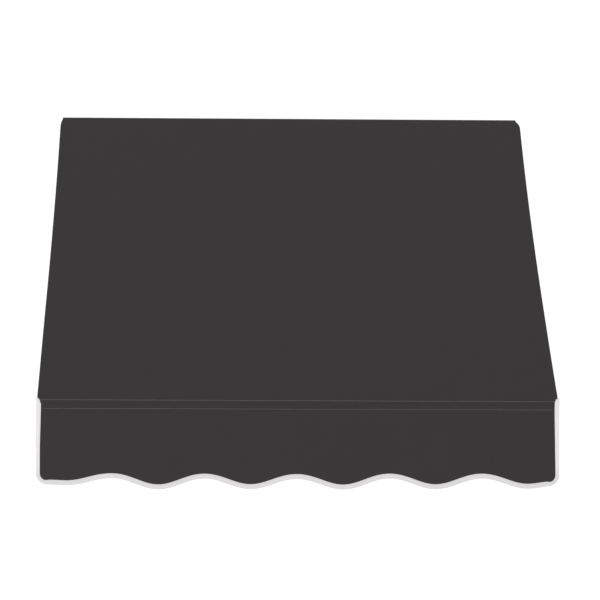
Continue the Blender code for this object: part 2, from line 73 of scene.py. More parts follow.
class Slot(Enum):
    """Material slots of the record."""

    CANVAS = "charcoal_canvas"
    TAPE = "binding_tape"
    TUBE = "frame_tube"
    BRACKET = "zinc_bracket"
    SCREW = "zinc_screw"
    CAP = "end_cap_plastic"


class Side(Enum):
    """The two sides of the awning, with the sign of their x."""

    LEFT = -1.0
    RIGHT = 1.0


# ---- finishes ---------------------------------------------------------------
class NodeGraph:
    """Small helper that adds and links shader or geometry nodes."""

    def __init__(self, tree: bpy.types.NodeTree) -> None:
        """Wrap a node tree.

        Args:
            tree: the tree to add nodes to.
        """
        self.tree = tree

    def add(self, kind: str, **settings: object) -> bpy.types.Node:
        """Add a node and set its properties.

        Args:
            kind: the node's Blender type.
            settings: attribute names and values.

        Returns:
            The new node.
        """
        node = self.tree.nodes.new(kind)
        for name, value in settings.items():
            setattr(node, name, value)
        return node

    def link(self, source: bpy.types.NodeSocket, target: bpy.types.NodeSocket) -> None:
        """Link two sockets.

        Args:
            source: the output.
            target: the input.
        """
        self.tree.links.new(source, target)

    def math(self, operation: str, first: object, second: object = 0.0) -> bpy.types.NodeSocket:
        """Add a Math node.

        Args:
            operation: the operation's name.
            first: a socket or a number.
            second: a socket or a number.

        Returns:
            The node's output.
        """
        node = self.add("ShaderNodeMath", operation=operation)
        for index, value in enumerate((first, second)):
            if isinstance(value, bpy.types.NodeSocket):
                self.link(value, node.inputs[index])
            else:
                node.inputs[index].default_value = float(value)
        return node.outputs[0]

    def mix(self, amount: object, low: Sequence[float], high: Sequence[float]) -> bpy.types.NodeSocket:
        """Mix two colours.

        Args:
            amount: a socket or a number from 0 to 1.
            low: colour at 0.
            high: colour at 1.

        Returns:
            The colour output.
        """
        node = self.add("ShaderNodeMix", data_type="RGBA")
        if isinstance(amount, bpy.types.NodeSocket):
            self.link(amount, node.inputs["Factor"])
        else:
            node.inputs["Factor"].default_value = float(amount)
        node.inputs[6].default_value = (*low, 1.0)
        node.inputs[7].default_value = (*high, 1.0)
        return node.outputs[2]

    def noise(self, place: bpy.types.NodeSocket, scale: float, detail: float = 2.0) -> bpy.types.NodeSocket:
        """Add a Noise Texture.

        Args:
            place: the coordinates to read.
            scale: the texture's scale.
            detail: the texture's detail.

        Returns:
            The factor output.
        """
        node = self.add("ShaderNodeTexNoise")
        node.inputs["Scale"].default_value = scale
        node.inputs["Detail"].default_value = detail
        self.link(place, node.inputs["Vector"])
        return node.outputs["Fac"]

    def bump(self, height: bpy.types.NodeSocket, strength: float, distance: float, shader: bpy.types.Node) -> None:
        """Feed a height into a shader's normal.

        Args:
            height: the height's socket.
            strength: the bump's strength.
            distance: the relief in metres.
            shader: the shader to feed.
        """
        node = self.add("ShaderNodeBump")
        node.inputs["Strength"].default_value = strength
        node.inputs["Distance"].default_value = distance
        self.link(height, node.inputs["Height"])
        self.link(node.outputs[0], shader.inputs["Normal"])


def scaled(colour: Sequence[float], amount: float) -> tuple[float, ...]:
    """Return a colour made lighter or darker.

    Args:
        colour: linear RGB.
        amount: the factor.

    Returns:
        The scaled colour.
    """
    return tuple(channel * amount for channel in colour)


@dataclass(frozen=True)
class Finish:
    """Base of every finish: a named Principled material."""

    name: str
    colour: tuple[float, float, float]
    roughness: float

    def start(self) -> tuple[bpy.types.Material, NodeGraph, bpy.types.Node]:
        """Make the material and set its plain values.

        Returns:
            The material, its graph and its Principled node.
        """
        material = bpy.data.materials.new(self.name)
        material.use_nodes = True
        graph = NodeGraph(material.node_tree)
        shader = material.node_tree.nodes["Principled BSDF"]
        shader.inputs["Base Color"].default_value = (*self.colour, 1.0)
        shader.inputs["Roughness"].default_value = self.roughness
        return material, graph, shader

    def tones(self, contrast: float) -> tuple[tuple[float, ...], tuple[float, ...]]:
        """Return the colour made darker and lighter by a share of itself."""
        return scaled(self.colour, 1.0 - contrast), scaled(self.colour, 1.0 + contrast)


@dataclass(frozen=True)
class WovenFinish(Finish):
    """Plain-weave cloth that follows the UV map, whose unit is the metre.

    thread is the distance from thread to thread and relief the weave's height. tone, slub and
    mottle say how far the weave, the uneven threads and the dye change the colour, within
    contrast. Its last field names an attribute of painted shade that darkens the cloth, if it isn't empty.
    """

    thread: float = 0.00055
    relief: float = 0.00008
    crown: float = 0.35
    tone: float = 0.10
    slub: float = 0.05
    slub_scale: float = 12.0
    mottle: float = 0.06
    mottle_scale: float = 9.0
    contrast: float = 0.30
    bump: float = 0.7
    sheen: float = 0.05
    specular: float = 0.15
    painted_shade: str = ""

    def weave(
        self, graph: NodeGraph, place: bpy.types.NodeSocket,
    ) -> tuple[bpy.types.NodeSocket, bpy.types.NodeSocket]:
        """Draw the over-and-under of warp and weft.

        Args:
            graph: the material's graph.
            place: the UV coordinates.

        Returns:
            The pattern from -1 to 1, and its height with rounded threads.
        """
        parts = graph.add("ShaderNodeSeparateXYZ")
        graph.link(place, parts.inputs[0])
        turns = [graph.math("MULTIPLY", parts.outputs[axis], math.pi / self.thread) for axis in range(2)]
        over = graph.math("MULTIPLY", *(graph.math("SINE", turn) for turn in turns))
        crowns = [graph.math("ABSOLUTE", graph.math("COSINE", turn)) for turn in turns]
        rounded = graph.math("MULTIPLY", graph.math("ADD", *crowns), self.crown)
        return over, graph.math("SUBTRACT", graph.math("MULTIPLY", over, 0.5), rounded)

    def streaks(self, graph: NodeGraph, place: bpy.types.NodeSocket) -> bpy.types.NodeSocket:
        """Draw the uneven threads of both directions.

        Args:
            graph: the material's graph.
            place: the UV coordinates.

        Returns:
            The pattern from 0 to 1.
        """
        found = []
        for axis, seed in ((0, 3.0), (1, 11.0)):
            scale = [self.slub_scale, self.slub_scale, 1.0]
            scale[axis] = 1.0 / self.thread
            stretch = graph.add("ShaderNodeMapping")
            stretch.inputs["Scale"].default_value = scale
            stretch.inputs["Location"].default_value = (seed, seed, seed)
            graph.link(place, stretch.inputs["Vector"])
            found.append(graph.noise(stretch.outputs[0], 0.5, detail=1.0))
        return graph.math("MULTIPLY", graph.math("ADD", *found), 0.5)

    def build(self) -> bpy.types.Material:
        """Build the woven material.

        Returns:
            The material.
        """
        material, graph, shader = self.start()
        place = graph.add("ShaderNodeUVMap", uv_map=UV_NAME).outputs["UV"]
        over, height = self.weave(graph, place)
        streak = graph.math("SUBTRACT", self.streaks(graph, place), 0.5)
        cloud = graph.math("SUBTRACT", graph.noise(place, self.mottle_scale), 0.5)
        amount = graph.math("MULTIPLY", streak, self.slub * 4.0)
        amount = graph.math("ADD", amount, graph.math("MULTIPLY", cloud, self.mottle))
        amount = graph.math("ADD", amount, graph.math("MULTIPLY", over, self.tone * 0.5))
        tone = graph.mix(graph.math("ADD", amount, 0.5), *self.tones(self.contrast))
        # Painted shade: the colour is scaled down by the named attribute, standing in for shade.
        if self.painted_shade:
            depth = graph.add("ShaderNodeAttribute", attribute_name=self.painted_shade)
            toned = graph.add("ShaderNodeVectorMath", operation="SCALE")
            graph.link(tone, toned.inputs[0])
            graph.link(depth.outputs["Fac"], toned.inputs["Scale"])
            tone = toned.outputs[0]
        graph.link(tone, shader.inputs["Base Color"])
        graph.bump(height, self.bump, self.relief, shader)
        shader.inputs["Sheen Weight"].default_value = self.sheen
        shader.inputs["Sheen Roughness"].default_value = 0.5
        shader.inputs["Specular IOR Level"].default_value = self.specular
        return material


@dataclass(frozen=True)
class MetalFinish(Finish):
    """Zinc-coated steel with soft spangle and fine wear."""

    spangle: float = 150.0
    contrast: float = 0.11
    wear: float = 0.12
    wear_scale: float = 14.0
    grain_scale: float = 900.0

    def build(self) -> bpy.types.Material:
        """Build the metal.

        Returns:
            The material.
        """
        material, graph, shader = self.start()
        place = graph.add("ShaderNodeTexCoord").outputs["Object"]
        cells = graph.add("ShaderNodeTexVoronoi")
        cells.inputs["Scale"].default_value = self.spangle
        graph.link(place, cells.inputs["Vector"])
        grey = graph.add("ShaderNodeRGBToBW")
        graph.link(cells.outputs["Color"], grey.inputs[0])
        graph.link(graph.mix(grey.outputs[0], *self.tones(self.contrast)), shader.inputs["Base Color"])
        cloud = graph.noise(place, self.wear_scale, detail=5.0)
        rough = graph.math("MULTIPLY_ADD", graph.math("ADD", cloud, grey.outputs[0]), self.wear)
        rough.node.inputs[2].default_value = self.roughness - self.wear
        graph.link(rough, shader.inputs["Roughness"])
        graph.bump(graph.noise(place, self.grain_scale), 0.12, 0.0002, shader)
        shader.inputs["Metallic"].default_value = 1.0
        return material


@dataclass(frozen=True)
class PlasticFinish(Finish):
    """Moulded plastic with a fine spark-eroded grain."""

    grain_scale: float = 1600.0

    def build(self) -> bpy.types.Material:
        """Build the plastic.

        Returns:
            The material.
        """
        material, graph, shader = self.start()
        place = graph.add("ShaderNodeTexCoord").outputs["Object"]
        graph.bump(graph.noise(place, self.grain_scale), 0.2, 0.0001, shader)
        return material


@dataclass(frozen=True)
class ThreadFinish(Finish):
    """Twisted sewing thread."""

    twist_scale: float = 1200.0
    contrast: float = 0.2

    def build(self) -> bpy.types.Material:
        """Build the thread.

        Returns:
            The material.
        """
        material, graph, shader = self.start()
        place = graph.add("ShaderNodeTexCoord").outputs["Object"]
        twist = graph.noise(place, self.twist_scale)
        graph.link(graph.mix(twist, *self.tones(self.contrast)), shader.inputs["Base Color"])
        return material


CANVAS = WovenFinish("canvas_charcoal", (0.0297, 0.0264, 0.0275), 0.92)
# The tape carries painted shade on its lower edge, read from an attribute.
TAPE = WovenFinish(
    "binding_tape_pale", (0.645, 0.632, 0.636), 0.85, thread=0.00042, relief=0.00005, slub=0.03, painted_shade=PAINTED_SHADE_NAME)
TUBE_METAL = MetalFinish("tube_galvanised", (0.56, 0.57, 0.585), 0.42)
PLATE_METAL = MetalFinish("bracket_zinc", (0.62, 0.63, 0.63), 0.36, spangle=110.0, contrast=0.05)
SCREW_METAL = MetalFinish("screw_zinc", (0.68, 0.67, 0.64), 0.28, spangle=300.0, contrast=0.06)
CAP_PLASTIC = PlasticFinish("end_cap_black", (0.028, 0.028, 0.029), 0.5)
SEAM_THREAD = ThreadFinish("thread_grey", (0.25, 0.237, 0.240), 0.6)
DARK_THREAD = ThreadFinish("thread_dark", (0.034, 0.031, 0.032), 0.8)
PALE_THREAD = ThreadFinish("thread_pale", (0.62, 0.61, 0.61), 0.6)


# ---- meshes -----------------------------------------------------------------
def add_piece(name: str, mesh: bpy.types.Mesh, material: bpy.types.Material) -> bpy.types.Object:
    """Link a mesh as a piece of the awning.

    Args:
        name: the piece's name.
        mesh: its mesh, in the row frame.
        material: its finish.

    Returns:
        The object, riding on the awning's body.
    """
    mesh.materials.clear()
    mesh.materials.append(material)
    piece = bpy.data.objects.new(name, mesh)
    bpy.context.scene.collection.objects.link(piece)
    log.info("%s: %d faces", name, len(mesh.polygons))
    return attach(piece, BODY)


@dataclass
class SheetGrid:
    """A cloth of constant thickness over a grid of mid-surface points."""

    points: np.ndarray
    normals: np.ndarray
    thickness: float
    cells: np.ndarray
    across: np.ndarray
    along: np.ndarray

    def mesh(self, name: str) -> bpy.types.Mesh:
        """Make the closed mesh with its UV map in metres.

        Args:
            name: the mesh's name.

        Returns:
            The mesh.
        """
        rows, columns = self.points.shape[:2]
        half = self.normals * self.thickness / 2.0
        layers = np.concatenate([(self.points + half).reshape(-1, 3), (self.points - half).reshape(-1, 3)])
        index = np.arange(rows * columns).reshape(rows, columns)
        a, b = index[:-1, :-1][self.cells], index[:-1, 1:][self.cells]
        c, d = index[1:, 1:][self.cells], index[1:, :-1][self.cells]
        quads = np.stack([a, d, c, b], axis=1)
        under = rows * columns
        edges = np.concatenate([quads[:, [k, (k + 1) % 4]] for k in range(4)])
        key = np.sort(edges, axis=1)
        _, inverse, counts = np.unique(key, axis=0, return_inverse=True, return_counts=True)
        rim = edges[counts[inverse.ravel()] == 1]
        walls = np.stack([rim[:, 1], rim[:, 0], rim[:, 0] + under, rim[:, 1] + under], axis=1)
        faces = np.concatenate([quads, quads[:, ::-1] + under, walls])
        used, flat = np.unique(faces, return_inverse=True)
        faces = flat.reshape(faces.shape)
        mesh = bpy.data.meshes.new(name)
        mesh.from_pydata(layers[used].tolist(), [], faces.tolist())
        uv = np.stack([self.across.ravel(), self.along.ravel()], axis=1)
        uv = np.concatenate([uv, uv])[used]
        layer = mesh.uv_layers.new(name=UV_NAME)
        layer.data.foreach_set("uv", uv[faces.ravel()].astype(np.float32).ravel())
        mesh.update()
        mesh.shade_smooth()
        mesh.set_sharp_from_angle(angle=math.radians(50.0))
        return mesh


def line_normals(line: np.ndarray) -> np.ndarray:
    """Return unit normals of an open (y, z) line, on its upper and front side.

    Args:
        line: the points.

    Returns:
        One normal a point.
    """
    tangent = np.gradient(line, axis=0)
    tangent /= np.linalg.norm(tangent, axis=1, keepdims=True)
    return np.stack([tangent[:, 1], -tangent[:, 0]], axis=1)


def arc(centre: Sequence[float], radius: float, start: float, end: float, steps: int) -> list[tuple[float, float]]:
    """Return points along an arc.

    Args:
        centre: its (y, z) centre.
        radius: its radius.
        start: first angle in degrees.
        end: last angle in degrees.
        steps: number of steps.

    Returns:
        The points.
    """
    angles = np.radians(np.linspace(start, end, steps + 1))
    return [(centre[0] + radius * math.cos(t), centre[1] + radius * math.sin(t)) for t in angles]


def lengths(line: np.ndarray) -> np.ndarray:
    """Return the running length along a line.

    Args:
        line: the points.

    Returns:
        The distance of each point from the first.
    """
    steps = np.linalg.norm(np.diff(line, axis=0), axis=1)
    return np.concatenate([[0.0], np.cumsum(steps)])


def tube_faces(rings: int, count: int) -> list[list[int]]:
    """Return the faces of a closed tube of rings, with its two ends.

    Args:
        rings: number of rings.
        count: points in each ring.

    Returns:
        The faces.
    """
    index = np.arange(rings * count).reshape(rings, count)
    after = np.roll(index, -1, axis=1)
    quads = np.stack([index[:-1], after[:-1], after[1:], index[1:]], axis=-1).reshape(-1, 4)
    return [*quads.tolist(), index[0][::-1].tolist(), index[-1].tolist()]


def dense(breaks: Sequence[float], step: float) -> np.ndarray:
    """Fill a list of breaks with evenly spaced values.

    Args:
        breaks: sorted values that have to be kept.
        step: the largest step.

    Returns:
        The filled list.
    """
    result = [breaks[0]]
    for low, high in zip(breaks, breaks[1:]):
        count = max(1, math.ceil((high - low) / step))
        result += [low + (high - low) * (k + 1) / count for k in range(count)]
    return np.array(result)


# ---- copies along a guide (Geometry Nodes) ----------------------------------
class CopyTree(NodeGraph):
    """A Geometry Nodes group that copies one shape onto a guide's points."""

    def __init__(self, name: str, inputs: dict[str, str]) -> None:
        """Make the group and its inputs.

        Args:
            name: the group's name.
            inputs: each input's name, with the kind of its socket.
        """
        super().__init__(bpy.data.node_groups.new(name, "GeometryNodeTree"))
        face = self.tree.interface
        face.new_socket("Geometry", in_out="INPUT", socket_type="NodeSocketGeometry")
        self.ids = {
            label: face.new_socket(label, in_out="INPUT", socket_type=f"NodeSocket{kind}").identifier
            for label, kind in inputs.items()}
        face.new_socket("Geometry", in_out="OUTPUT", socket_type="NodeSocketGeometry")
        self.given = self.add("NodeGroupInput").outputs

    def copy(self, **sockets: bpy.types.NodeSocket) -> None:
        """Copy a shape onto points, make the copies real and paint them.

        Args:
            sockets: what feeds Points, Instance, Rotation and Scale.
        """
        copies = self.add("GeometryNodeInstanceOnPoints")
        for name, socket in sockets.items():
            self.link(socket, copies.inputs[name])
        real = self.add("GeometryNodeRealizeInstances")
        self.link(copies.outputs[0], real.inputs[0])
        paint = self.add("GeometryNodeSetMaterial")
        self.link(real.outputs[0], paint.inputs["Geometry"])
        self.link(self.given["Material"], paint.inputs["Material"])
        self.link(paint.outputs[0], self.add("NodeGroupOutput").inputs[0])

    def run(self, name: str, guide: bpy.types.Mesh, values: dict[str, object]) -> bpy.types.Mesh:
        """Run the group on a guide.

        Args:
            name: the new mesh's name.
            guide: the mesh whose points or edges guide the copies.
            values: each input's value by the input's name.

        Returns:
            The copies as one plain mesh.
        """
        holder = bpy.data.objects.new(guide.name, guide)
        bpy.context.scene.collection.objects.link(holder)
        modifier = holder.modifiers.new("copies", "NODES")
        modifier.node_group = self.tree
        for label, value in values.items():
            modifier[self.ids[label]] = value
        graph = bpy.context.evaluated_depsgraph_get()
        mesh = bpy.data.meshes.new_from_object(holder.evaluated_get(graph))
        bpy.data.objects.remove(holder)
        mesh.name = name
        return mesh


class StitchTool:
    """Sews rows of stitches along lines."""

    def __init__(self) -> None:
        """Build the node group: a stretched ball every pitch along the line."""
        sizes = dict.fromkeys(("Pitch", "Stitch Length", "Thread Radius"), "Float")
        self.tree = CopyTree("stitch_row", {**sizes, "Material": "Material"})
        graph, given = self.tree, self.tree.given
        curve = graph.add("GeometryNodeMeshToCurve")
        graph.link(given["Geometry"], curve.inputs["Mesh"])
        even = graph.add("GeometryNodeResampleCurve", mode="LENGTH")
        graph.link(curve.outputs[0], even.inputs["Curve"])
        graph.link(given["Pitch"], even.inputs["Length"])
        ball = graph.add("GeometryNodeMeshUVSphere")
        ball.inputs["Segments"].default_value = 6
        ball.inputs["Rings"].default_value = 5
        ball.inputs["Radius"].default_value = 1.0
        smooth = graph.add("GeometryNodeSetShadeSmooth")
        graph.link(ball.outputs["Mesh"], smooth.inputs["Geometry"])
        turn = graph.add("FunctionNodeAlignRotationToVector", axis="Z")
        graph.link(graph.add("GeometryNodeInputTangent").outputs[0], turn.inputs["Vector"])
        scale = graph.add("ShaderNodeCombineXYZ")
        half = graph.math("MULTIPLY", given["Stitch Length"], 0.5)
        for index, socket in enumerate((given["Thread Radius"], given["Thread Radius"], half)):
            graph.link(socket, scale.inputs[index])
        graph.copy(Points=even.outputs[0], Instance=smooth.outputs[0], Rotation=turn.outputs[0], Scale=scale.outputs[0])

    def sew(
        self,
        name: str,
        lines: Sequence[np.ndarray],
        material: bpy.types.Material,
        pitch: float = 0.0040,
        length: float = 0.0031,
        radius: float = 0.0003,
    ) -> bpy.types.Object:
        """Sew stitches along lines.

        Args:
            name: the piece's name.
            lines: arrays of points on the cloth's surface.
            material: the thread.
            pitch: distance from stitch to stitch.
            length: one stitch's length.
            radius: the thread's radius.

        Returns:
            The stitches, as one plain mesh.
        """
        points, edges = [], []
        for line in lines:
            start = len(points)
            points += line.tolist()
            edges += [(start + k, start + k + 1) for k in range(len(line) - 1)]
        guide = bpy.data.meshes.new(f"{name}_line")
        guide.from_pydata(points, edges, [])
        mesh = self.tree.run(
            name, guide, {"Pitch": pitch, "Stitch Length": length, "Thread Radius": radius, "Material": material})
        return add_piece(name, mesh, material)


# ---- cover ------------------------------------------------------------------
@dataclass(frozen=True)
class CoverSize:
    """Sizes of the cover, in metres."""

    cloth: float = 0.0005
    air: float = 0.0003
    # top sheet: half its width, the side hem folded under, and how far the sides are drawn in
    half_width: float = 0.6655
    hem: float = 0.020
    hem_lift: float = 0.00028
    hem_fold: float = 0.0003
    hem_seam: float = 0.0165
    pull_left: float = 0.0042
    pull_right: float = 0.0072
    low_in_left: float = 0.0027
    low_in_right: float = 0.0020
    sag: float = 0.0035
    sag_half: float = 0.622
    side_sag: float = 0.0008
    # top sheet: rounded top corners (depth, length), and the lap over the front bar
    top_corner_left: tuple[float, float] = (0.0052, 0.034)
    top_corner_right: tuple[float, float] = (0.0104, 0.031)
    lap: float = 0.0078
    lap_corner: float = 0.0085
    lap_zone: float = 0.0170
    # top sheet: notches under the head bar, at the brackets and outside the wall posts
    notch_half: float = 0.034
    notch_end: float = 0.59
    # valance: where it hangs, its waves, its uneven end lobes (rise, length) and its ripples
    # (length, phase, height)
    valance_half: float = 0.6675
    tail: float = 0.0100
    corner: float = 0.030
    low: float = -0.7980
    depth: float = 0.0276
    wave: float = 0.2360
    wave_low: float = -0.1206
    waves: int = 5
    lobe_left: float = 0.0078
    lobe_right: float = -0.0006
    rise_left: tuple[float, float] = (0.0028, 0.06)
    rise_right: tuple[float, float] = (0.0100, 0.07)
    belly: tuple[float, float] = (0.0022, 0.6)
    kick: float = 0.0080
    hang_depth: float = 0.21
    ripples: tuple[tuple[float, float, float], ...] = ((0.41, 0.8, 0.0020), (0.173, 2.1, 0.0008))
    spread_left: float = 0.0010
    spread_right: float = 0.0098
    top_in_left: float = 0.0034
    # seams: drop or rise from end to end, and how high each thread lies on the cloth
    seam_slant: float = 0.0012
    seam_lift: float = 0.0001
    seam_inset: float = 0.0125
    # binding tape: width, width at the top and foot of the sides, thickness, and the painted shade that makes its lower
    # edge darker
    binding: float = 0.0130
    binding_side_top: float = 0.0122
    binding_side_low: float = 0.0098
    tape: float = 0.0008
    tape_seam: float = 0.0022
    # Painted shade: how dark the tape's lower edge is made, and the depth below the bend and the blend where it starts.
    low_painted_shade: float = 0.90
    painted_shade_zone: tuple[float, float] = (0.170, 0.030)
    # pocket strip
    pocket_half: float = 0.588


@dataclass
class FrameBoxes:
    """Where the frame's bars are, read from the CAD nodes."""

    head_low: Vector = field(default_factory=lambda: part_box("head_bar")[0])
    head_high: Vector = field(default_factory=lambda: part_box("head_bar")[1])
    bar_low: Vector = field(default_factory=lambda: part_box("front_bar")[0])
    bar_high: Vector = field(default_factory=lambda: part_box("front_bar")[1])
    brackets: tuple[float, ...] = (-0.5, 0.0, 0.5)
    corner: float = 0.002


BEND_DROP = 0.0012
NOTCH_ROWS = 12
SEAM_POINTS = 300
EDGE_POINTS = 380
SIDE_POINTS = 60
TAIL_POINTS = 12
FINE_THREAD = 0.00022


def both_sides(side: np.ndarray, middle: np.ndarray, sign: float = 1.0) -> np.ndarray:
    """Join the middle columns with a side's columns and their mirror, times sign."""
    return np.concatenate([sign * side[::-1], middle, side])


class Cover:
    """The sewn cover: top sheet, valance, binding, pocket strip and all its seams."""

    def __init__(self, size: CoverSize, boxes: FrameBoxes, tool: StitchTool) -> None:
        """Keep the sizes and work out the cover's main lines.

        Args:
            size: the cover's sizes.
            boxes: the frame's bars.
            tool: the stitch tool.
        """
        self.size = size
        self.boxes = boxes
        self.tool = tool
        self.canvas = CANVAS.build()
        self.tape = TAPE.build()
        self.grey = SEAM_THREAD.build()
        self.dark = DARK_THREAD.build()
        self.pale = PALE_THREAD.build()
        self.front_y = boxes.bar_low.y - size.air - size.cloth / 2.0
        bend = (boxes.bar_low.y - 0.0021, boxes.bar_high.z + 0.0016)
        top = (boxes.head_low.y + 0.00042, boxes.head_high.z + 0.00031)
        self.bend = np.array(bend)
        self.top = np.array(top)
        run = self.top - self.bend
        self.up = run / np.linalg.norm(run)
        self.out = np.array([-self.up[1], self.up[0]])

    # -- top sheet
    def sheet_line(self) -> tuple[np.ndarray, int]:
        """Return the sheet's mid line, from the hem under the head bar to the lap.

        Returns:
            The line and the row where the slope starts.
        """
        low, high, corner = self.boxes.head_low, self.boxes.head_high, self.boxes.corner
        gap, turn = 0.0008, 0.0022
        reach = corner + gap
        line = [(low.y + inset, low.z - gap) for inset in (0.003, 0.006, 0.010, 0.014)]
        line += arc((high.y - corner, low.z + corner), reach, -90.0, 0.0, 6)
        line += [(high.y + gap, low.z + 0.0065), (high.y + gap, low.z + 0.0125)]
        line += arc((high.y - corner, high.z - corner), reach, 0.0, 90.0, 6)
        line += [(low.y + 0.014, high.z + gap), (low.y + 0.008, high.z + gap)]
        line += arc((low.y + corner, high.z - corner), reach, 90.0, 124.0, 4)
        start = len(line)
        first = np.array(line[-1])
        shares = np.concatenate([np.linspace(0.0, 0.05, 16)[1:], np.linspace(0.05, 0.97, 86)[1:],
                                 np.linspace(0.97, 0.997, 14)[1:]])
        line += [tuple(first + (self.bend - first) * share) for share in shares]
        last = np.array(line[-1])
        foot = self.bend + np.array([0.0, -turn])
        for share in np.linspace(0.0, 1.0, 7)[1:]:
            mixed = (1 - share) ** 2 * last + 2 * share * (1 - share) * self.bend + share ** 2 * foot
            line.append(tuple(mixed))
        line += [(self.bend[0], self.bend[1] - drop) for drop in np.linspace(turn, self.size.lap, 10)[1:]]
        return np.array(line), start

    def slope_share(self, run: np.ndarray, start: int) -> np.ndarray:
        """Return how far down the slope each row lies.

        Args:
            run: the running length of the sheet's line.
            start: the row where the slope starts.

        Returns:
            The shares, from 0 at the head to 1 at the bend.
        """
        return np.clip((run - run[start]) / (run[-1] - self.size.lap - run[start]), 0.0, 1.0)

    def sheet_half(self, run: np.ndarray, start: int, side: Side) -> np.ndarray:
        """Return the sheet's half width at each row of its line.

        Args:
            run: the running length of the sheet's line.
            start: the row where the slope starts.
            side: the side.

        Returns:
            The half widths.
        """
        size = self.size
        right = side is Side.RIGHT
        cut, reach = size.top_corner_right if right else size.top_corner_left
        share = self.slope_share(run, start)
        half = size.half_width - (size.pull_right if right else size.pull_left) * 4.0 * share * (1.0 - share)
        half -= cut * np.clip(1.0 - (run - run[start]) / reach, 0.0, 1.0) ** 2.4
        half -= (size.low_in_right if right else size.low_in_left) * np.clip((share - 0.7) / 0.3, 0.0, 1.0) ** 1.5
        left = np.clip((run[-1] - run) / size.lap_zone, 0.0, 1.0)
        half -= size.lap_corner * (1.0 - left ** 2.2)
        return half

    def hem_columns(self) -> tuple[np.ndarray, ...]:
        """Lay out one side of the sheet, from its flat part round the folded hem.

        Returns:
            Each column's distance in from the edge, its height, the outward and upward parts of
            its normal, and its place across the flat cloth.
        """
        size = self.size
        flat = np.array([0.0155, 0.011, 0.0065, 0.003, 0.001, size.hem_fold])
        turn = np.radians(np.linspace(90.0, -90.0, 7)[1:])
        under = np.array([0.001, 0.004, 0.010, 0.016, size.hem])
        inset = np.concatenate([flat, size.hem_fold * (1.0 - np.cos(turn)), under])
        height = size.hem_lift * np.concatenate([np.ones(len(flat)), np.sin(turn), -np.ones(len(under))])
        outward = np.concatenate([np.zeros(len(flat)), np.cos(turn), np.zeros(len(under))])
        upward = np.concatenate([np.ones(len(flat)), np.sin(turn), -np.ones(len(under))])
        steps = np.hypot(np.diff(inset), np.diff(height))
        return inset, height, outward, upward, size.half_width - flat[0] + np.concatenate([[0.0], np.cumsum(steps)])

    def sag_at(self, share: np.ndarray, x: np.ndarray) -> np.ndarray:
        """Return how far the cloth sinks between the head bar, the front bar and the rafters."""
        span = np.clip(1.0 - (np.abs(x) / self.size.sag_half) ** 2, 0.0, 1.0)
        return -self.size.sag * np.sin(np.pi * share) * span

    def build_sheet(self) -> None:
        """Build the top sheet with its folded side hems, and its seams."""
        size = self.size
        line, start = self.sheet_line()
        normals, run = line_normals(line), lengths(line)
        share = self.slope_share(run, start)[:, None]
        half = {side: self.sheet_half(run, start, side) for side in Side}
        left, right = half[Side.LEFT][:, None], half[Side.RIGHT][:, None]
        inner = size.half_width - size.hem
        notches = [spot + d for spot in self.boxes.brackets for d in (-size.notch_half, size.notch_half)]
        middle = dense(sorted([-inner, -size.notch_end, *notches, size.notch_end, inner]), 0.009)
        inset, height, outward, upward, place = self.hem_columns()

        limit = np.where(middle < 0, left, right) - 0.0158 - (inner - np.abs(middle)).clip(0.0, None) * 0.02
        squeezed = np.sign(middle) * np.minimum(np.abs(middle), limit)
        x = np.concatenate([(inset - left)[:, ::-1], squeezed, right - inset], axis=1)
        outward = both_sides(outward, np.zeros(len(middle)), -1.0)
        upward = both_sides(upward, np.ones(len(middle)))
        edge_sag = size.side_sag * np.sin(np.pi * share) * np.clip((np.abs(x) - 0.650) / 0.015, 0.0, 1.0)
        offset = both_sides(height, np.full(len(middle), size.hem_lift)) + self.sag_at(share, x) - edge_sag
        points = np.stack([x, line[:, :1] + normals[:, :1] * offset, line[:, 1:] + normals[:, 1:] * offset], axis=-1)
        ones = np.ones_like(x)
        directions = np.stack([ones * outward, normals[:, :1] * upward, normals[:, 1:] * upward], axis=-1)

        centre = (x[:-1, :-1] + x[:-1, 1:]) / 2.0
        notch = np.abs(centre) > size.notch_end
        for spot in self.boxes.brackets:
            notch |= np.abs(centre - spot) < size.notch_half
        notch[NOTCH_ROWS:] = False
        across, along = ones * both_sides(place, middle, -1.0), ones * run[:, None]
        grid = SheetGrid(points, directions, size.cloth, ~notch, across, along)
        sheet = add_piece("cover_top_sheet", grid.mesh("cover_top_sheet"), self.canvas)
        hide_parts("top_sheet")

        rows = slice(start + 2, len(line) - 8)
        lines = []
        for side in Side:
            x = side.value * (half[side][rows] - size.hem_seam)
            lift = size.hem_lift + size.cloth / 2.0 + 0.00008 + self.sag_at(share[rows, 0], x)
            lines.append(np.column_stack([x, line[rows] + lift[:, None] * normals[rows]]))
        hems = self.tool.sew("side_hem_stitches", lines, self.dark, radius=FINE_THREAD)

        upper = self.upper_seam_line(line, normals)
        seam = self.tool.sew("upper_pocket_seam", [upper], self.grey)
        hem = self.head_hem(line)

    def upper_seam_line(self, line: np.ndarray, normals: np.ndarray) -> np.ndarray:
        """Return the upper seam's line, just below the sheet's bend.

        Args:
            line: the sheet's mid line.
            normals: the line's normals.

        Returns:
            The seam's points.
        """
        size = self.size
        half = size.half_width - size.seam_inset
        x = np.linspace(-half, half, SEAM_POINTS)
        height = self.bend[1] - 0.0010 - size.seam_slant * x / half
        drop = -line[-34:, 1]
        facing = [np.interp(-height, drop, normals[-34:, k]) for k in range(2)]
        lift = size.hem_lift + size.cloth / 2.0 + size.seam_lift
        front = np.interp(-height, drop, line[-34:, 0])
        return np.column_stack([x, front + facing[0] * lift, height + facing[1] * lift])

